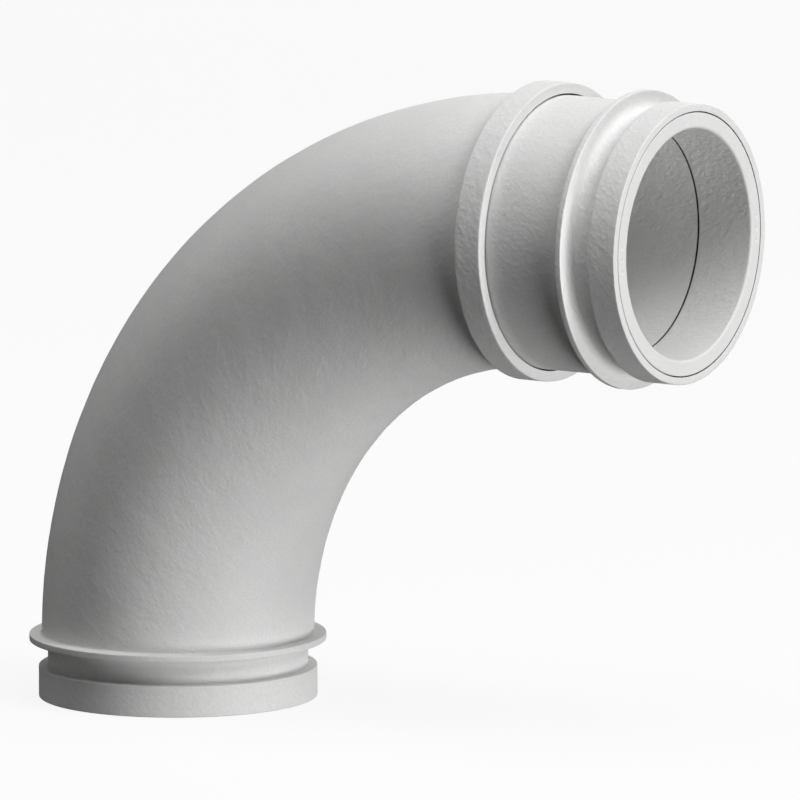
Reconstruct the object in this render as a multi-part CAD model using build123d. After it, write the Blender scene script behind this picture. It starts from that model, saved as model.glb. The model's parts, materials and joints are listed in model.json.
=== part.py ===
"""A 90 degree elbow for a concrete delivery line, with clamp-coupling collars and a short straight outlet.

Millimetres, +Z up. The origin is the centre of the inlet's end plane: the inlet's axis is Z, and the
outlet leaves along +X. The walls are double: a hard liner inside a softer steel shell.
"""
from build123d import *
import os

# Pipe: one bore and one outside all the way round the bend
BORE_R = 62.5
LINER_R = 69.5
TUBE_R = 74.25
BEND_R = 243.0
BEND_START = 32.0
AXIS_HEIGHT = BEND_START + BEND_R
OUTLET_X = 331.3

# Coupling collar, the same at both ends, measured from the end plane inwards
LAND_R = 76.0
LAND_WIDTH = 17.0
GROOVE_R = 71.0
GROOVE_WIDTH = 14.0
GROOVE_ROUND = 4.5
FLANGE_R = 81.0
FLANGE_THICKNESS = 3.6
FLANGE_START = LAND_WIDTH + GROOVE_WIDTH
COLLAR_LENGTH = FLANGE_START + FLANGE_THICKNESS
EDGE_ROUND = 0.5

# Hard wear ring inside each collar: a wide lip at the face, then a narrower body bonded in the pocket
RING_LIP_R = 71.3
RING_BODY_R = 66.4
RING_LIP_DEPTH = 8.0
RING_MOUTH_ROUND = 1.5
LIP_RECESS_R = 71.9
POCKET_R = 66.8
SEAM = 1.0
RING_LENGTH = COLLAR_LENGTH - SEAM

# Hub: the socket ring where the straight outlet tube is welded to the bend
HUB_R = 81.0
HUB_BACK_X = 232.5
HUB_FRONT_X = 248.5
HUB_EDGE_ROUND = 0.8
SOCKET_R = 75.5
SOCKET_WELD_DEPTH = 2.5

# Weld preparation at the tube ends
WELD_ROOT_R = 71.5
WELD_WIDTH = 2.75
OVERSIZE = 5.0

INLET_END = Plane(origin=(0, 0, 0), x_dir=(0, 0, 1), z_dir=(0, 1, 0))
OUTLET_END = Plane(origin=(OUTLET_X, 0, AXIS_HEIGHT), x_dir=(-1, 0, 0), z_dir=(0, 1, 0))
BEND_END = Plane(origin=(BEND_R, 0, AXIS_HEIGHT), x_dir=(1, 0, 0), z_dir=(0, -1, 0))
BEND_AXIS = Axis((BEND_R, 0, BEND_START), (0, 1, 0))
COLLAR_BACK = Plane.XY.offset(COLLAR_LENGTH)
EXTENSION_LENGTH = OUTLET_X - COLLAR_LENGTH - BEND_R


def turned(points, rounds=()):
    """A solid turned about its local X from an outline of (along, radius) points.

    Each entry of rounds is (index of a point, radius of its corner)."""
    face = make_face(Polyline(*points, close=True))
    for index, radius in rounds:
        corner = face.vertices().sort_by_distance((*points[index], 0))[0]
        face = fillet(corner, radius)
    return revolve(face, Axis.X, 360)


def sleeve(start, end, inner, outer):
    """A plain turned sleeve."""
    return turned([(start, inner), (start, outer), (end, outer), (end, inner)])


def bent_wall(inner, outer):
    """The bend's wall between two radii, squared off at the back of the inlet collar."""
    section = Circle(outer)
    if inner:
        section -= Circle(inner)
    bend = revolve(Pos(0, 0, BEND_START) * section, BEND_AXIS, 90)
    return split(bend, bisect_by=COLLAR_BACK, keep=Keep.TOP)


def collar():
    """Land, clamp groove and stop flange outside; lip recess and wear-ring pocket inside."""
    points = [
        (0, LIP_RECESS_R),
        (0, LAND_R),
        (LAND_WIDTH, LAND_R),
        (LAND_WIDTH, GROOVE_R),
        (FLANGE_START, GROOVE_R),
        (FLANGE_START, FLANGE_R),
        (COLLAR_LENGTH, FLANGE_R),
        (COLLAR_LENGTH, POCKET_R),
        (RING_LIP_DEPTH, POCKET_R),
        (RING_LIP_DEPTH, LIP_RECESS_R),
    ]
    edges = [(index, EDGE_ROUND) for index in (1, 2, 5, 6)]
    return turned(points, edges + [(3, GROOVE_ROUND), (4, GROOVE_ROUND)])


def wear_ring():
    """The replaceable hard ring: its lip is flush with the collar's rim, with a narrow gap around it."""
    points = [
        (0, BORE_R),
        (0, RING_LIP_R),
        (RING_LIP_DEPTH, RING_LIP_R),
        (RING_LIP_DEPTH, RING_BODY_R),
        (RING_LENGTH, RING_BODY_R),
        (RING_LENGTH, BORE_R),
    ]
    return turned(points, [(0, RING_MOUTH_ROUND), (1, EDGE_ROUND)])


def ring_bond():
    """The adhesive layer between a wear ring's body and its pocket."""
    return sleeve(RING_LIP_DEPTH, RING_LENGTH, RING_BODY_R, POCKET_R)


def weld_bevel():
    """The bevel at a tube's end on a collar, drawn past the tube's outside."""
    outside = TUBE_R + OVERSIZE
    slope = WELD_WIDTH / (TUBE_R - WELD_ROOT_R)
    far_end = COLLAR_LENGTH + slope * (outside - WELD_ROOT_R)
    return turned([(COLLAR_LENGTH, WELD_ROOT_R), (COLLAR_LENGTH, outside), (far_end, outside)])


def hub():
    """The socket ring: its back is bored to the bend's outside, its front leaves a gap round the tube."""
    back = HUB_BACK_X - BEND_R
    front = HUB_FRONT_X - BEND_R
    points = [
        (back, LINER_R),
        (back, HUB_R),
        (front, HUB_R),
        (front, SOCKET_R),
        (0, SOCKET_R),
        (0, LINER_R),
    ]
    ring = turned(points, [(1, HUB_EDGE_ROUND), (2, HUB_EDGE_ROUND)])
    return BEND_END * ring - bent_wall(0, TUBE_R)


def hub_weld():
    """The weld at the bottom of the socket, which joins the bend, the hub and the outlet tube."""
    points = [
        (0, WELD_ROOT_R),
        (0, SOCKET_R),
        (SOCKET_WELD_DEPTH, SOCKET_R),
        (SOCKET_WELD_DEPTH, TUBE_R),
    ]
    return BEND_END * turned(points)


def extension_tube(bevel):
    """The straight outlet tube, bevelled at both ends for its welds."""
    points = [
        (0, LINER_R),
        (0, WELD_ROOT_R),
        (SOCKET_WELD_DEPTH, TUBE_R),
        (EXTENSION_LENGTH, TUBE_R),
        (EXTENSION_LENGTH, LINER_R),
    ]
    return BEND_END * turned(points) - bevel


def build():
    """Every sub-part by its node name."""
    shell = bent_wall(LINER_R, TUBE_R)
    inlet_bevel = INLET_END * weld_bevel()
    outlet_bevel = OUTLET_END * weld_bevel()
    outlet_wall = BEND_END * sleeve(0, EXTENSION_LENGTH, LINER_R, TUBE_R)
    parts = {
        "elbow_shell": shell - inlet_bevel,
        "elbow_liner": bent_wall(BORE_R, LINER_R),
        "inlet_collar_weld": shell & inlet_bevel,
        "hub_ring": hub(),
        "hub_weld": hub_weld(),
        "extension_tube": extension_tube(outlet_bevel),
        "extension_liner": BEND_END * sleeve(SEAM, EXTENSION_LENGTH, BORE_R, LINER_R),
        "outlet_collar_weld": outlet_wall & outlet_bevel,
    }
    for end, plane in (("inlet", INLET_END), ("outlet", OUTLET_END)):
        parts[end + "_collar"] = plane * collar()
        parts[end + "_wear_ring"] = plane * wear_ring()
        parts[end + "_ring_bond"] = plane * ring_bond()
    return parts


os.makedirs("parts", exist_ok=True)
for node, shape in build().items():
    export_step(shape, f"parts/{node}.step")
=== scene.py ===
"""A twin-wall elbow of a concrete delivery line, painted light grey over cast and rolled steel."""
import json
import math

import bmesh
import bpy
import numpy as np
from mathutils import Matrix, Vector, noise


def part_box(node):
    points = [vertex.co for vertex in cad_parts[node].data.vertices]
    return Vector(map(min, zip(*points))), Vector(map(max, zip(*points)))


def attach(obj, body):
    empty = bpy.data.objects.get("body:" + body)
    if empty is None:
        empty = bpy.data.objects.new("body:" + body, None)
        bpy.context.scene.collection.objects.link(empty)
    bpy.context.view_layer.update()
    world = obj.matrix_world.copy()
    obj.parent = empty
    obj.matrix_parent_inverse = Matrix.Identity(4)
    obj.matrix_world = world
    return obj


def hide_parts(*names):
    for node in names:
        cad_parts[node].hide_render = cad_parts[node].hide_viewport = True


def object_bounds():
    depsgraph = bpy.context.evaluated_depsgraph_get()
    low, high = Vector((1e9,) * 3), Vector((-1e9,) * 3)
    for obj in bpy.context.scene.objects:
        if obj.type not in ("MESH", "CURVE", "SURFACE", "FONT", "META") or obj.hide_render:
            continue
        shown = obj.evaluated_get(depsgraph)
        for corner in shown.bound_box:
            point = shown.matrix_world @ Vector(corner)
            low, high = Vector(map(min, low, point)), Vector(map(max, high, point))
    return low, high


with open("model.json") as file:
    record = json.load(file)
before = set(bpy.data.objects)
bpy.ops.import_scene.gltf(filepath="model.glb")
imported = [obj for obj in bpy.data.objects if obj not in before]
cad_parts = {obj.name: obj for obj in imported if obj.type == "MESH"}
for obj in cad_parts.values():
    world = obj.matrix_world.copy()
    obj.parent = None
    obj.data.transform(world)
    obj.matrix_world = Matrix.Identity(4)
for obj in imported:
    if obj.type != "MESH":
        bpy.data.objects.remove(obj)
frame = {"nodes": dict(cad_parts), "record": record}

CAD_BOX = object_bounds()
MM = 0.001
ROOT = "root"

# ---------------------------------------------------------------- sizes taken from the frame
MOUNTS = {mount["name"]: mount for mount in frame["record"]["mounts"]}
BORE_R = MOUNTS["inlet_bore"]["dims"]["r_mm"] * MM
LAND_R = MOUNTS["inlet_coupling"]["dims"]["r_mm"] * MM


def half_width(node):
    """Half of a node's size across Y: its outer radius."""
    low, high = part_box(node)
    return (high.y - low.y) / 2


COLLAR_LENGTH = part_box("inlet_collar")[1].z
OUTLET_LOW, OUTLET_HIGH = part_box("outlet_collar")
OUTLET_X = OUTLET_HIGH.x
AXIS_HEIGHT = (OUTLET_LOW.z + OUTLET_HIGH.z) / 2
BEND_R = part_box("extension_tube")[0].x
BEND_START = AXIS_HEIGHT - BEND_R
HUB_BACK = OUTLET_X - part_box("hub_ring")[0].x
HUB_FRONT = OUTLET_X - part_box("hub_ring")[1].x
BEND_END = OUTLET_X - BEND_R
LINER_START = OUTLET_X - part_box("extension_liner")[0].x
SOCKET_FLOOR = OUTLET_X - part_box("hub_weld")[1].x
TUBE_R = half_width("extension_tube")
LINER_R = half_width("extension_liner")
FLANGE_R = half_width("inlet_collar")
HUB_R = half_width("hub_ring")
SOCKET_R = half_width("hub_weld")
LIP_R = half_width("inlet_wear_ring")
POCKET_R = half_width("inlet_ring_bond")
RING_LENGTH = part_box("inlet_wear_ring")[1].z
LIP_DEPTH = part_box("inlet_ring_bond")[0].z
WELD_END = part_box("inlet_collar_weld")[1].z

# ---------------------------------------------------------------- sizes of the finer shapes
LAND_WIDTH = 17.0 * MM
GROOVE_R = 71.0 * MM
GROOVE_WIDTH = 14.0 * MM
GROOVE_ROUND = 1.2 * MM
FLANGE_ROUND = 4.5 * MM
FACE_GAP = 0.6 * MM
BOND = 0.4 * MM
EDGE = 0.5 * MM
HUB_EDGE = 0.8 * MM
PAINT_BUILD = 0.35 * MM
CAST_FILLET = 2.5 * MM
WELD_FILLET = 1.3 * MM
WELD_ROOT_R = 71.5 * MM
MOUTH_ROUND = 1.5 * MM
MOUTH_BAND = 1.5 * MM
SLANT = math.radians(-52)
DOT_R = 1.4 * MM
DOT_DEPTH = 0.7 * MM
DOT_ANGLES = (-5.5, 0.0, 5.5)

SHARP_TURN = math.radians(38)
AROUND = 300
INSERT_AROUND = 720
GRID_STEP = 1.5 * MM
FINE_STEP = 0.55 * MM
ARC_STEPS = 6
PLAIN_STEPS = 30

# ---------------------------------------------------------------- relief of the cast pieces
BEND_RELIEF = 0.09 * MM
COLLAR_RELIEF = 0.04 * MM
HUB_RELIEF = 0.05 * MM
TUBE_RELIEF = 0.05 * MM
LUMP = (7.0, 3.5)
TUBE_LUMP = (8.0, 5.0)
SWELL = (3.0, 4.0)
SWELL_SHARE = 1.5
HUB_SEED = 9.0
TUBE_SEED = 4.0


# ---------------------------------------------------------------- outlines
def rounded(points, rounds):
    """An outline of (along, radius) points whose square corners in rounds, {index: radius}, become arcs."""
    out = []
    for index, point in enumerate(points):
        here = Vector(point)
        radius = rounds.get(index)
        if not radius:
            out.append(tuple(here))
            continue
        before = (Vector(points[index - 1]) - here).normalized() * radius
        after = (Vector(points[(index + 1) % len(points)]) - here).normalized() * radius
        centre = here + before + after
        for step in range(ARC_STEPS + 1):
            turn = math.pi / 2 * step / ARC_STEPS
            out.append(tuple(centre - after * math.cos(turn) - before * math.sin(turn)))
    return out


def divided(points, longest, on_face=None):
    """The closed outline with its runs divided to at most longest, or to on_face along the end face."""
    out = []
    for index, point in enumerate(points):
        here = np.array(point)
        there = np.array(points[(index + 1) % len(points)])
        flat = on_face and max(here[0], there[0]) < EDGE / 10
        count = max(1, math.ceil(np.linalg.norm(there - here) / (on_face if flat else longest)))
        out += [tuple(here + (there - here) * step / count) for step in range(count)]
    return out


# ---------------------------------------------------------------- places
def inlet_place(along, radius, turn):
    """along runs up from the inlet's end plane."""
    return (radius * math.cos(turn), radius * math.sin(turn), along)


def outlet_place(along, radius, turn):
    """along runs back from the outlet's end plane."""
    return (OUTLET_X - along, radius * math.cos(turn), AXIS_HEIGHT + radius * math.sin(turn))


def hub_place(along, radius, turn):
    """Like outlet_place, but a point at the tube's radius sinks with the bend's outside."""
    behind = max(0.0, along - BEND_END)
    sink = BEND_R - math.sqrt(BEND_R**2 - behind**2) if radius < SOCKET_R else 0.0
    return outlet_place(along, radius - sink * math.sin(turn), turn)


def bend_place(along, radius, turn):
    """along is a share of the bend from the collar's back, 0, to the bend's end, 1."""
    out = BEND_R - radius * math.cos(turn)
    first = math.asin((COLLAR_LENGTH - BEND_START) / out)
    angle = first + (math.pi / 2 - first) * along
    return (BEND_R - out * math.cos(angle), radius * math.sin(turn), BEND_START + out * math.sin(angle))


BEND_LENGTH = BEND_R * math.pi / 2
WELD_SHARE = (WELD_END - COLLAR_LENGTH) / BEND_LENGTH
# The turn at which each place points to +Y
BACK_TURN = {inlet_place: math.pi / 2, bend_place: math.pi / 2, outlet_place: 0.0, hub_place: 0.0}


# ---------------------------------------------------------------- meshes
def unrolled(outline, turns, place, length):
    """Places on the unrolled skin in millimetres: round the tube, along it, and out from its axis.

    The cut where the skin was opened lies at the back, +Y.
    """
    along, radius = np.array(outline).T
    opened = turns[:, None] - BACK_TURN[place]
    return np.stack([radius * opened, along * length + 0 * opened, radius + 0 * opened], axis=-1) / MM


def swept(name, outline, place, around=AROUND, length=1.0):
    """A closed ring mesh from a closed outline, with its unrolled skin as the attribute skin."""
    turns = BACK_TURN[place] + np.arange(around + 1) * 2 * math.pi / around
    rows = np.array([[place(along, radius, turn) for along, radius in outline] for turn in turns[:-1]])
    index = np.arange(around * len(outline)).reshape(around, len(outline))
    across = np.roll(index, -1, axis=0)
    corners = np.stack((index, np.roll(index, -1, axis=1), np.roll(across, -1, axis=1), across), axis=-1)
    mesh = bpy.data.meshes.new(name)
    mesh.from_pydata(rows.reshape(-1, 3).tolist(), [], corners.reshape(-1, 4).tolist())
    skin = unrolled(outline, turns, place, length)
    near, far = skin[:-1], skin[1:]
    on_corners = np.stack((near, np.roll(near, -1, axis=1), np.roll(far, -1, axis=1), far), axis=2)
    mesh.attributes.new("skin", "FLOAT_VECTOR", "CORNER").data.foreach_set("vector", on_corners.ravel())
    work = bmesh.new()
    work.from_mesh(mesh)
    bmesh.ops.recalc_face_normals(work, faces=work.faces)
    work.to_mesh(mesh)
    work.free()
    mesh.shade_smooth()
    mesh.set_sharp_from_angle(angle=SHARP_TURN)
    made = bpy.data.objects.new(name, mesh)
    bpy.context.scene.collection.objects.link(made)
    return made, near.reshape(-1, 3)


def vectors(mesh, kind):
    """A mesh's vertex places, or its vertex normals, as an array."""
    values = np.zeros(len(mesh.vertices) * 3, np.float32)
    if kind == "places":
        mesh.vertices.foreach_get("co", values)
    else:
        mesh.vertex_normals.foreach_get("vector", values)
    return values.reshape(-1, 3)


def relief(made, skin, height, outside, lump=LUMP, seed=0.0):
    """Moves the outside of a cast piece in and out, in slanting lumps of lump millimetres and in swells."""
    mesh = made.data
    places, normals = vectors(mesh, "places"), vectors(mesh, "normals")
    cos, sin = math.cos(SLANT), math.sin(SLANT)
    for number in np.nonzero(skin[:, 2] * MM > outside)[0]:
        spot = skin[number]
        drawn = (spot[0] * cos + spot[1] * sin) / lump[0]
        narrow = (spot[1] * cos - spot[0] * sin) / lump[1]
        deep = spot[2] / lump[1] + seed
        swell = noise.noise((drawn / SWELL[0] + seed, narrow / SWELL[1], deep))
        rise = noise.noise((drawn, narrow, deep)) + SWELL_SHARE * swell
        places[number] += normals[number] * height * rise
    mesh.vertices.foreach_set("co", places.ravel())
    mesh.update()


def finish_piece(made, nodes, slot, *materials):
    """Gives a piece its materials and its place in the part."""
    for material in materials:
        made.data.materials.append(material)
    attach(made, ROOT)
    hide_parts(*nodes)


def paint_faces(made, skin, index, test):
    """Gives a material to the faces whose along and radius, in metres, pass the test."""
    for face in made.data.polygons:
        _, along, radius = skin[list(face.vertices)].mean(axis=0) * MM
        if test(along, radius):
            face.material_index = index


# ---------------------------------------------------------------- materials
# Sizes of noise lumps on the skin, (drawn, narrow) in millimetres
BEND_LUMPS = (2.8, 1.7)
RING_LUMPS = (3.2, 2.5)
TUBE_LUMPS = (3.0, 2.3)
BORE_LUMPS = (4.2, 2.8)
WELD_RIPPLES = (3.0, 1.8)
PAINT_SPECKLE = (1.7, 1.3)
PAINT_PEEL = (1.2, 0.8)
FACE_PEEL = (1.2, 1.0)
BORE_PEEL = (1.2, 0.9)
WELD_PEEL = (0.8, 0.8)
# Sizes of round clouds, in millimetres
WARM_CLOUD = 34.0
COOL_CLOUD = 21.0
TOOL_WOBBLE_CLOUD = 14.0
STEEL_MOTTLE = 2.0
# Heights of bumps, in millimetres
BEND_BUMP = 0.06
RING_BUMP = 0.145
TUBE_BUMP = 0.10
FINE_BUMP_SHARE = 0.5
PEEL_BUMP_SHARE = 0.25
TOOL_BUMP = 0.012
FACE_PEEL_BUMP = 0.02
BORE_BUMP = 0.58
BORE_PEEL_BUMP = 0.06
WELD_BUMP = 0.16
WELD_PEEL_BUMP = 0.03
STEEL_BUMP = 0.05
# Lightness of each paint, and its tints. The face, rim and bore lightnesses are darker and lighter copies of
# the one grey paint: painted shade on the end faces and in the bore, painted light on the flange's and hub's
# front faces
CAST_LIGHT = 0.80
FACE_PAINTED_SHADE_LIGHTNESS = 0.66
RIM_LIGHTNESS_PAINTED_LIGHT = 0.83
BORE_LIGHTNESS_PAINTED_SHADE = 0.74
PLAIN_TINT = (1.0, 1.0, 0.99)
WARM_TINT = (0.965, 0.957, 0.945)
COOL_TINT = (0.950, 0.962, 0.965)
DULL_TINT = (0.92, 0.92, 0.91)
# The marks that a lathe leaves: their wander in millimetres, and their number per millimetre
TOOL_WOBBLE = 0.6
TOOL_PITCH = 2.6


class Nodes:
    """A short way to write a material's nodes."""

    def __init__(self, name, specular):
        self.material = bpy.data.materials.new(name)
        self.material.use_nodes = True
        self.tree = self.material.node_tree
        self.shader = self.tree.nodes["Principled BSDF"]
        self.shader.inputs["Specular IOR Level"].default_value = specular

    def add(self, kind, **values):
        node = self.tree.nodes.new(kind)
        for key, value in values.items():
            setattr(node, key, value)
        return node

    def link(self, out, into):
        self.tree.links.new(out, into)

    def surface(self, socket, out):
        """Links a value to a socket of the shader."""
        self.link(out, self.shader.inputs[socket])

    def skin(self):
        """The place on the unrolled skin."""
        return self.add("ShaderNodeAttribute", attribute_name="skin").outputs["Vector"]

    def grain(self, size, detail=2.0, roughness=0.5):
        """Noise from 0 to 1 in slanting lumps of the (drawn, narrow) size on the skin."""
        drawn, narrow = size
        frame_of = self.add("ShaderNodeMapping", vector_type="TEXTURE")
        frame_of.inputs["Rotation"].default_value = (0, 0, SLANT)
        frame_of.inputs["Scale"].default_value = (drawn, narrow, narrow)
        self.link(self.skin(), frame_of.inputs["Vector"])
        return self.noise(frame_of.outputs["Vector"], 1.0, detail, roughness)

    def noise(self, place, scale, detail=2.0, roughness=0.5):
        texture = self.add("ShaderNodeTexNoise")
        texture.inputs["Scale"].default_value = scale
        texture.inputs["Detail"].default_value = detail
        texture.inputs["Roughness"].default_value = roughness
        self.link(place, texture.inputs["Vector"])
        return texture.outputs["Fac"]

    def cloud(self, size_mm):
        """Noise in round clouds that pass over the skin's cut without a step."""
        place = self.add("ShaderNodeTexCoord")
        return self.noise(place.outputs["Object"], 1 / (size_mm * MM))

    def maths(self, kind, first, second):
        node = self.add("ShaderNodeMath", operation=kind)
        for value, socket in ((first, node.inputs[0]), (second, node.inputs[1])):
            if isinstance(value, float):
                socket.default_value = value
            else:
                self.link(value, socket)
        return node.outputs["Value"]

    def spread(self, value, low, high, start=0.3, end=0.7):
        """A value between start and end taken to between low and high."""
        node = self.add("ShaderNodeMapRange")
        node.inputs["From Min"].default_value = start
        node.inputs["From Max"].default_value = end
        node.inputs["To Min"].default_value = low
        node.inputs["To Max"].default_value = high
        self.link(value, node.inputs["Value"])
        return node.outputs["Result"]

    def blend(self, factor, first, second):
        node = self.add("ShaderNodeMix", data_type="RGBA")
        self.link(factor, node.inputs["Factor"])
        for value, socket in ((first, node.inputs[6]), (second, node.inputs[7])):
            if isinstance(value, tuple):
                socket.default_value = (*value, 1.0)
            else:
                self.link(value, socket)
        return node.outputs[2]

    def bump(self, height, distance_mm, under=None):
        """The normal over a height from 0 to 1 that is distance_mm high, on top of another bump."""
        node = self.add("ShaderNodeBump")
        node.inputs["Distance"].default_value = distance_mm * MM
        node.inputs["Strength"].default_value = 1.0
        self.link(height, node.inputs["Height"])
        if under:
            self.link(under, node.inputs["Normal"])
        return node.outputs["Normal"]


def paint_colour(nodes, light):
    """Paint with broad clouds of slightly warmer and cooler grey and a fine speckle."""
    plain, warm, cool, dull = (
        tuple(light * channel for channel in tint) for tint in (PLAIN_TINT, WARM_TINT, COOL_TINT, DULL_TINT)
    )
    clouded = nodes.blend(nodes.spread(nodes.cloud(WARM_CLOUD), 0.0, 1.0, 0.45, 0.70), plain, warm)
    cooled = nodes.blend(nodes.spread(nodes.cloud(COOL_CLOUD), 0.0, 1.0, 0.50, 0.75), clouded, cool)
    speckle = nodes.spread(nodes.grain(PAINT_SPECKLE, 2.0, 0.6), 0.0, 1.0, 0.38, 0.66)
    nodes.surface("Base Color", nodes.blend(speckle, cooled, dull))


def cast_paint(name, lumps, depth):
    """Satin paint over a cast skin: slanting lumps of the (drawn, narrow) size and depth in millimetres."""
    nodes = Nodes(name, specular=0.25)
    paint_colour(nodes, CAST_LIGHT)
    nodes.surface("Roughness", nodes.spread(nodes.grain((6.0, 5.0), 3.0), 0.52, 0.68))
    large, small = (tuple(scale * width for width in lumps) for scale in (1.6, 0.8))
    sparse = nodes.spread(nodes.grain(large, 1.5), 0.0, 1.0, 0.45, 0.80)
    coarse = nodes.bump(sparse, depth)
    fine = nodes.bump(nodes.grain(small, 1.5), depth * FINE_BUMP_SHARE, coarse)
    nodes.surface("Normal", nodes.bump(nodes.grain(PAINT_PEEL), depth * PEEL_BUMP_SHARE, fine))
    return nodes.material


def turned_paint(name, light):
    """Smoother paint over a machined face, with faint rings left by the tool."""
    nodes = Nodes(name, specular=0.35)
    paint_colour(nodes, light)
    nodes.surface("Roughness", nodes.spread(nodes.grain((5.0, 4.0), 3.0), 0.45, 0.58))
    apart = nodes.add("ShaderNodeSeparateXYZ")
    nodes.link(nodes.skin(), apart.inputs["Vector"])
    feed = nodes.maths("ADD", apart.outputs["Z"], apart.outputs["Y"])
    wobble = nodes.maths("MULTIPLY", nodes.cloud(TOOL_WOBBLE_CLOUD), TOOL_WOBBLE)
    rings = nodes.add("ShaderNodeTexNoise", noise_dimensions="1D")
    rings.inputs["Scale"].default_value = TOOL_PITCH
    rings.inputs["Detail"].default_value = 2.0
    nodes.link(nodes.maths("ADD", feed, wobble), rings.inputs["W"])
    tooled = nodes.bump(rings.outputs["Fac"], TOOL_BUMP)
    nodes.surface("Normal", nodes.bump(nodes.grain(FACE_PEEL), FACE_PEEL_BUMP, tooled))
    return nodes.material


def bore_coat_painted_shade(name):
    """The matt, slightly rough coat on the hard lining, in a darker copy of the grey paint: painted shade
    inside the bore.
    """
    nodes = Nodes(name, specular=0.3)
    paint_colour(nodes, BORE_LIGHTNESS_PAINTED_SHADE)
    nodes.surface("Roughness", nodes.spread(nodes.grain((9.0, 3.0), 3.0), 0.52, 0.68))
    lumps = nodes.bump(nodes.grain(BORE_LUMPS), BORE_BUMP)
    nodes.surface("Normal", nodes.bump(nodes.grain(BORE_PEEL), BORE_PEEL_BUMP, lumps))
    return nodes.material


def weld_paint(name):
    """Paint over a dressed weld, with low ripples."""
    nodes = Nodes(name, specular=0.5)
    paint_colour(nodes, CAST_LIGHT)
    nodes.surface("Roughness", nodes.spread(nodes.grain((4.0, 4.0), 3.0), 0.44, 0.60))
    ripples = nodes.bump(nodes.grain(WELD_RIPPLES), WELD_BUMP)
    nodes.surface("Normal", nodes.bump(nodes.grain(WELD_PEEL), WELD_PEEL_BUMP, ripples))
    return nodes.material


def unpainted(name, dark, bright, roughness):
    """Bare metal or adhesive deep in a joint, where the paint doesn't reach. It needs no skin."""
    nodes = Nodes(name, specular=0.2)
    nodes.shader.inputs["Roughness"].default_value = roughness
    mottle = nodes.cloud(STEEL_MOTTLE)
    nodes.surface("Base Color", nodes.blend(mottle, dark, bright))
    nodes.surface("Normal", nodes.bump(mottle, STEEL_BUMP))
    return nodes.material


BEND_PAINT = cast_paint("bend_paint", BEND_LUMPS, BEND_BUMP)
RING_PAINT = cast_paint("ring_paint", RING_LUMPS, RING_BUMP)
TUBE_PAINT = cast_paint("tube_paint", TUBE_LUMPS, TUBE_BUMP)
# The end faces take a darker copy of the turned paint as painted shade, and the flange's and hub's front
# faces take a lighter copy as painted light
FACE_PAINT_PAINTED_SHADE = turned_paint("face_paint_painted_shade", FACE_PAINTED_SHADE_LIGHTNESS)
RIM_PAINT_PAINTED_LIGHT = turned_paint("rim_paint_painted_light", RIM_LIGHTNESS_PAINTED_LIGHT)
# The bore's coat is the grey paint made darker, painted shade inside the bore
BORE_COAT_PAINTED_SHADE = bore_coat_painted_shade("bore_coat_painted_shade")
WELD_PAINT = weld_paint("weld_paint")
# Bare steel deep in the joints, kept very dark: partly the unpainted metal, partly painted shade standing in
# for the dark of the narrow gaps
BARE_STEEL_AND_PAINTED_SHADE = unpainted("bare_steel_and_painted_shade", (0.075, 0.074, 0.072), (0.125, 0.122, 0.118), 0.6)
EPOXY = unpainted("epoxy", (0.030, 0.030, 0.034), (0.060, 0.058, 0.056), 0.55)


# ---------------------------------------------------------------- pieces
def bend_pieces():
    """The bend's outer wall and its liner."""
    steps = round(BEND_LENGTH / GRID_STEP)
    back = [(1 - step / PLAIN_STEPS) for step in range(PLAIN_STEPS + 1)]
    outside = [(WELD_SHARE + (1 - WELD_SHARE) * step / steps, TUBE_R) for step in range(steps + 1)]
    inside = [(share, LINER_R) for share in back]
    outline = outside + inside + [(0.0, WELD_ROOT_R)]
    wall, skin = swept("bend_wall", outline, bend_place, length=BEND_LENGTH)
    relief(wall, skin, BEND_RELIEF, LINER_R + MM)
    finish_piece(wall, ["elbow_shell"], "painted_steel", BEND_PAINT)
    bore_steps = steps // 2
    bore = [(1 - step / bore_steps, BORE_R) for step in range(bore_steps + 1)]
    outer = [(1 - share, LINER_R) for share in back]
    liner, _ = swept("bend_liner", outer + bore, bend_place, length=BEND_LENGTH)
    # The liner takes the darker bore coat, painted shade inside the bore
    finish_piece(liner, ["elbow_liner"], "liner", BORE_COAT_PAINTED_SHADE)


def collar_piece(end, place):
    """Land, clamp groove and stop flange, with the recess and pocket for the wear ring."""
    flange_start = LAND_WIDTH + GROOVE_WIDTH
    points = [
        (0.0, LIP_R + FACE_GAP),
        (0.0, LAND_R),
        (LAND_WIDTH, LAND_R),
        (LAND_WIDTH, GROOVE_R),
        (flange_start, GROOVE_R),
        (flange_start, FLANGE_R),
        (COLLAR_LENGTH, FLANGE_R),
        (COLLAR_LENGTH, POCKET_R),
        (LIP_DEPTH, POCKET_R),
        (LIP_DEPTH, LIP_R + FACE_GAP),
    ]
    rounds = {0: EDGE / 2, 1: EDGE, 2: EDGE, 3: GROOVE_ROUND, 4: FLANGE_ROUND, 5: EDGE, 6: EDGE}
    made, skin = swept(end + "_coupling_collar", divided(rounded(points, rounds), GRID_STEP), place)
    relief(made, skin, COLLAR_RELIEF, LAND_R - EDGE / 2, seed=len(end))
    outside = RING_PAINT if end == "outlet" else BEND_PAINT
    finish_piece(made, [end + "_collar"], "painted_steel", outside, FACE_PAINT_PAINTED_SHADE, BARE_STEEL_AND_PAINTED_SHADE, RIM_PAINT_PAINTED_LIGHT)
    # The end face gets the darker turned paint, painted shade; the flange's front face gets the lighter one,
    # painted light
    paint_faces(made, skin, 1, lambda along, radius: along < EDGE / 3)
    paint_faces(made, skin, 3, lambda along, radius: abs(along - flange_start) < EDGE / 3)
    # The walls of the recess and the pocket take the dark bare steel, painted shade in the gap
    recess_end = LIP_DEPTH + EDGE
    paint_faces(made, skin, 2, lambda along, radius: EDGE < along < recess_end and radius < GROOVE_R + MM)
    paint_faces(made, skin, 2, lambda along, radius: along > EDGE and radius < POCKET_R + MM)


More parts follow.
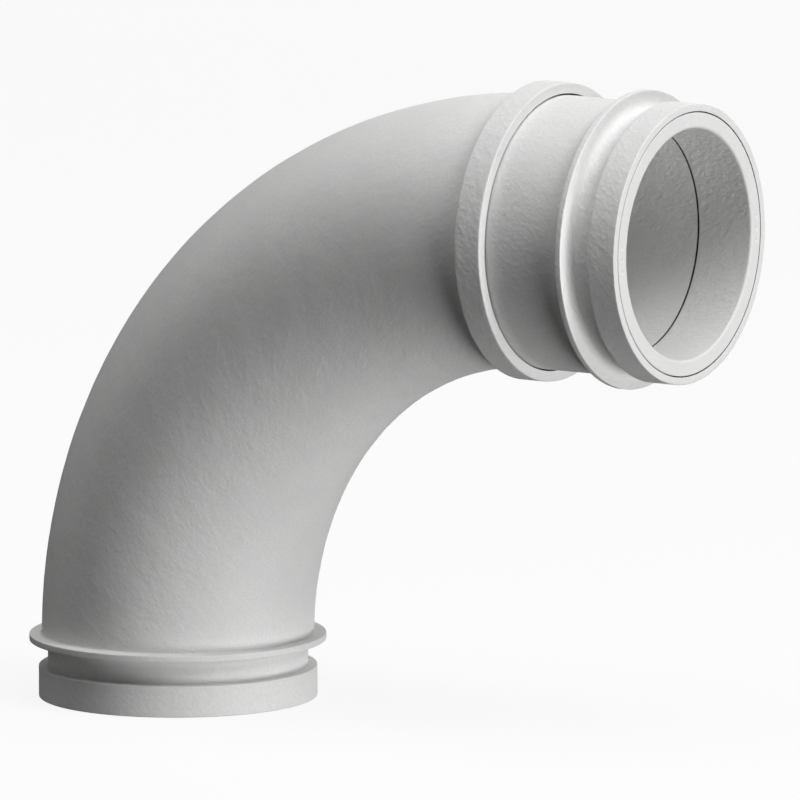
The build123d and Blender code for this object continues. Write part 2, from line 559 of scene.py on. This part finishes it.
def press_dots(made, skin):
    """Two generic rows of punched dots on the ring's face, on opposite sides."""
    mesh = made.data
    places = vectors(mesh, "places")
    turns = skin[:, 0] / skin[:, 2]
    middle = (BORE_R + MOUTH_ROUND + LIP_R) / 2 / MM
    for side in (0.0, 180.0, 360.0):
        for angle in DOT_ANGLES:
            centre = math.radians(side + angle)
            round_it = (turns - centre) * middle
            away = np.sqrt(round_it**2 + (skin[:, 2] - middle) ** 2 + skin[:, 1] ** 2) * MM / DOT_R
            for number in np.nonzero(away < 1)[0]:
                places[number, 0] -= DOT_DEPTH * (math.cos(math.pi * away[number]) + 1) / 2
    mesh.vertices.foreach_set("co", places.ravel())
    mesh.update()


def insert_piece(end, place):
    """The hard ring: a wide smooth lip at the face, a rounded mouth and a body down the pocket."""
    points = [
        (0.0, BORE_R),
        (0.0, LIP_R),
        (LIP_DEPTH, LIP_R),
        (LIP_DEPTH, POCKET_R - BOND),
        (RING_LENGTH, POCKET_R - BOND),
        (RING_LENGTH, BORE_R),
    ]
    outline = rounded(points, {0: MOUTH_ROUND, 1: EDGE, 5: EDGE / 2})
    made, skin = swept(end + "_wear_insert", divided(outline, GRID_STEP, FINE_STEP), place, INSERT_AROUND)
    # The ring's face and lip take the darker turned paint, painted shade
    finish_piece(made, [end + "_wear_ring"], "wear_ring", FACE_PAINT_PAINTED_SHADE, BORE_COAT_PAINTED_SHADE, BARE_STEEL_AND_PAINTED_SHADE)
    # The bore side of the ring takes the darker bore coat, painted shade
    paint_faces(made, skin, 1, lambda along, radius: radius < BORE_R + EDGE / 5 and along > MOUTH_BAND)
    # The ring's back faces take the dark bare steel, painted shade in the seam
    paint_faces(made, skin, 2, lambda along, radius: radius > BORE_R + EDGE and along > LIP_DEPTH - EDGE)
    if end == "outlet":
        press_dots(made, skin)


def hub_pieces():
    """The socket ring with a cast fillet behind it, and the weld down in its gap."""
    fillet = [
        (HUB_BACK + CAST_FILLET * (1 - math.sin(turn)), TUBE_R + CAST_FILLET * (1 - math.cos(turn)))
        for turn in (math.pi / 2 * step / ARC_STEPS for step in range(ARC_STEPS + 1))
    ]
    points = [
        (HUB_BACK, HUB_R),
        (HUB_FRONT, HUB_R),
        (HUB_FRONT, SOCKET_R - PAINT_BUILD),
        (BEND_END, SOCKET_R - PAINT_BUILD),
        (BEND_END, TUBE_R),
    ]
    body = rounded(points, {0: HUB_EDGE, 1: HUB_EDGE, 2: EDGE / 2})
    hub, skin = swept("hub_socket_ring", divided(body + fillet, GRID_STEP), hub_place)
    relief(hub, skin, HUB_RELIEF, SOCKET_R + MM, seed=HUB_SEED)
    finish_piece(hub, ["hub_ring"], "painted_steel", RING_PAINT, RIM_PAINT_PAINTED_LIGHT, BARE_STEEL_AND_PAINTED_SHADE)
    # The hub's front face gets the lighter turned paint, painted light
    paint_faces(hub, skin, 1, lambda along, radius: along < HUB_FRONT + HUB_EDGE / 3)
    # The socket's walls take the dark bare steel, painted shade in the hub's gap
    paint_faces(hub, skin, 2, lambda along, radius: HUB_FRONT + EDGE < along and radius < SOCKET_R + EDGE / 5)
    paint_faces(hub, skin, 0, lambda along, radius: along > BEND_END + EDGE)
    bead = [
        (BEND_END, WELD_ROOT_R),
        (BEND_END, SOCKET_R - PAINT_BUILD),
        (SOCKET_FLOOR, SOCKET_R - PAINT_BUILD),
        (SOCKET_FLOOR + EDGE / 2, (SOCKET_R + TUBE_R) / 2),
        (SOCKET_FLOOR, TUBE_R),
    ]
    weld, _ = swept("hub_weld_bead", bead, outlet_place)
    # The weld deep in the socket is dark bare steel, painted shade in the gap
    finish_piece(weld, ["hub_weld"], "weld", BARE_STEEL_AND_PAINTED_SHADE)


def outlet_tube_pieces():
    """The straight tube between the hub and the outlet collar, with its liner."""
    points = [
        (BEND_END, LINER_R),
        (BEND_END, WELD_ROOT_R),
        (SOCKET_FLOOR, TUBE_R),
        (WELD_END, TUBE_R),
        (COLLAR_LENGTH, WELD_ROOT_R),
        (COLLAR_LENGTH, LINER_R),
    ]
    tube, skin = swept("outlet_tube", divided(points, GRID_STEP), outlet_place)
    relief(tube, skin, TUBE_RELIEF, WELD_ROOT_R + MM, TUBE_LUMP, TUBE_SEED)
    finish_piece(tube, ["extension_tube"], "painted_steel", TUBE_PAINT)
    sleeve = [
        (LINER_START, BORE_R),
        (LINER_START, LINER_R),
        (COLLAR_LENGTH, LINER_R),
        (COLLAR_LENGTH, BORE_R),
    ]
    liner, skin = swept("outlet_liner", divided(sleeve, GRID_STEP), outlet_place)
    # The liner's bore takes the darker bore coat, painted shade
    finish_piece(liner, ["extension_liner"], "liner", BORE_COAT_PAINTED_SHADE, BARE_STEEL_AND_PAINTED_SHADE)
    # The liner's end face takes the dark bare steel, painted shade in the bore's seam
    paint_faces(liner, skin, 1, lambda along, radius: radius > BORE_R + EDGE)


def collar_weld(end, place, run):
    """A dressed weld with a small fillet up the back of the flange. run turns a distance into along."""
    size = WELD_FILLET
    fillet = [
        (run(size * (1 - math.cos(turn))), TUBE_R + size * (1 - math.sin(turn)))
        for turn in (math.pi / 2 * step / ARC_STEPS for step in range(ARC_STEPS + 1))
    ]
    outline = [(run(0.0), WELD_ROOT_R)] + fillet + [(run(WELD_END - COLLAR_LENGTH), TUBE_R)]
    made, _ = swept(end + "_weld_bead", outline, place, length=BEND_LENGTH if end == "inlet" else 1.0)
    finish_piece(made, [end + "_collar_weld"], "weld", WELD_PAINT)


def build_pieces():
    """Every piece of the elbow."""
    bend_pieces()
    hub_pieces()
    outlet_tube_pieces()
    for end, place in (("inlet", inlet_place), ("outlet", outlet_place)):
        collar_piece(end, place)
        insert_piece(end, place)
        bond = frame["nodes"][end + "_ring_bond"]
        bond.data.materials.clear()
        bond.data.materials.append(EPOXY)
    collar_weld("inlet", bend_place, lambda distance: distance / BEND_LENGTH)
    collar_weld("outlet", outlet_place, lambda distance: COLLAR_LENGTH + distance)


build_pieces()


# ---------------------------------------------------------------- floor, light and camera
CENTRE = (CAD_BOX[0] + CAD_BOX[1]) / 2
FLOOR_R = 30.0
FLOOR_SIDES = 96
FLOOR_GAP = 0.4 * MM
FLOOR_GREY = 0.1
FLOOR_GLOW = 0.88
BACKDROP = 0.93
BOX_DISTANCE = 4.0
# name: (azimuth, elevation, width, height, power in watts)
SOFT_BOXES = {
    "overhead": (35, 75, 3.0, 3.0, 98),
    "side_high": (91, 43, 2.2, 2.2, 104),
    "side_low": (86, -20, 2.2, 2.2, 120),
    "behind": (200, 10, 3.0, 3.0, 40),
    "front_fill": (0, 10, 3.0, 3.0, 3),
    "left_front_fill": (305, -20, 3.0, 3.0, 13),
    "left_fill": (270, 35, 3.0, 3.0, 16),
}


def direction(azimuth, elevation):
    """The unit vector towards a place round the object. Azimuth 0 is the front, -Y, and 90 is +X."""
    turn, lift = math.radians(azimuth), math.radians(elevation)
    return Vector((math.sin(turn) * math.cos(lift), -math.cos(turn) * math.cos(lift), math.sin(lift)))


def studio_floor():
    """A wide, plain, pale floor. It takes the object's shadow, and neither blocks nor throws back light."""
    place = (0, 0, -FLOOR_GAP)
    bpy.ops.mesh.primitive_circle_add(vertices=FLOOR_SIDES, radius=FLOOR_R, fill_type="NGON", location=place)
    floor = bpy.context.object
    floor.name = "studio_floor"
    material = bpy.data.materials.new("floor")
    material.use_nodes = True
    shader = material.node_tree.nodes["Principled BSDF"]
    shader.inputs["Base Color"].default_value = (FLOOR_GREY, FLOOR_GREY, FLOOR_GREY, 1)
    shader.inputs["Roughness"].default_value = 1.0
    shader.inputs["Specular IOR Level"].default_value = 0.0
    shader.inputs["Emission Color"].default_value = (1, 1, 1, 1)
    shader.inputs["Emission Strength"].default_value = FLOOR_GLOW
    floor.data.materials.append(material)
    floor.visible_diffuse = False
    floor.visible_glossy = False
    floor.visible_shadow = False


def studio_world():
    """A pale backdrop that only the camera sees: all the light comes from the soft boxes."""
    world = bpy.data.worlds.new("studio")
    bpy.context.scene.world = world
    world.use_nodes = True
    background = world.node_tree.nodes["Background"]
    background.inputs["Color"].default_value = (1, 1, 1, 1)
    background.inputs["Strength"].default_value = BACKDROP
    world.cycles_visibility.diffuse = False
    world.cycles_visibility.glossy = False


def soft_box(name, azimuth, elevation, width, height, power):
    """A large studio light that faces the object."""
    light = bpy.data.lights.new(name, "AREA")
    light.shape = "RECTANGLE"
    light.size = width
    light.size_y = height
    light.energy = power
    made = bpy.data.objects.new(name, light)
    made.location = CENTRE + direction(azimuth, elevation) * BOX_DISTANCE
    made.rotation_euler = (-direction(azimuth, elevation)).to_track_quat("-Z", "Y").to_euler()
    made.visible_camera = False
    bpy.context.scene.collection.objects.link(made)


CAMERA_AZIMUTH = 33.0
CAMERA_ELEVATION = 9.1
CAMERA_ROLL = -0.25
CAMERA_DISTANCE = 16.0
FRAME_HEIGHT = 433.8 * MM
AIM_RIGHT = 16.7 * MM
AIM_UP = -4.9 * MM
SENSOR_WIDTH = 36.0
CLIP_END = 100.0


def photo_camera():
    """A very long lens a little above the joint plane, turned towards the open outlet."""
    back = direction(CAMERA_AZIMUTH, CAMERA_ELEVATION)
    right = Vector((0, 0, 1)).cross(back).normalized()
    up = back.cross(right)
    turn = math.radians(CAMERA_ROLL)
    level, upright = right, up
    right = level * math.cos(turn) + upright * math.sin(turn)
    up = upright * math.cos(turn) - level * math.sin(turn)
    camera = bpy.data.cameras.new("camera")
    camera.sensor_width = SENSOR_WIDTH
    camera.lens = SENSOR_WIDTH * CAMERA_DISTANCE / FRAME_HEIGHT
    camera.clip_end = CLIP_END
    made = bpy.data.objects.new("camera", camera)
    place = CENTRE + right * AIM_RIGHT + up * AIM_UP + back * CAMERA_DISTANCE
    axes = Matrix((right, up, back)).transposed().to_4x4()
    made.matrix_world = Matrix.Translation(place) @ axes
    bpy.context.scene.collection.objects.link(made)
    bpy.context.scene.camera = made


studio_floor()
studio_world()
for box_name, values in SOFT_BOXES.items():
    soft_box(box_name, *values)
photo_camera()
bpy.context.scene.view_settings.view_transform = "Standard"
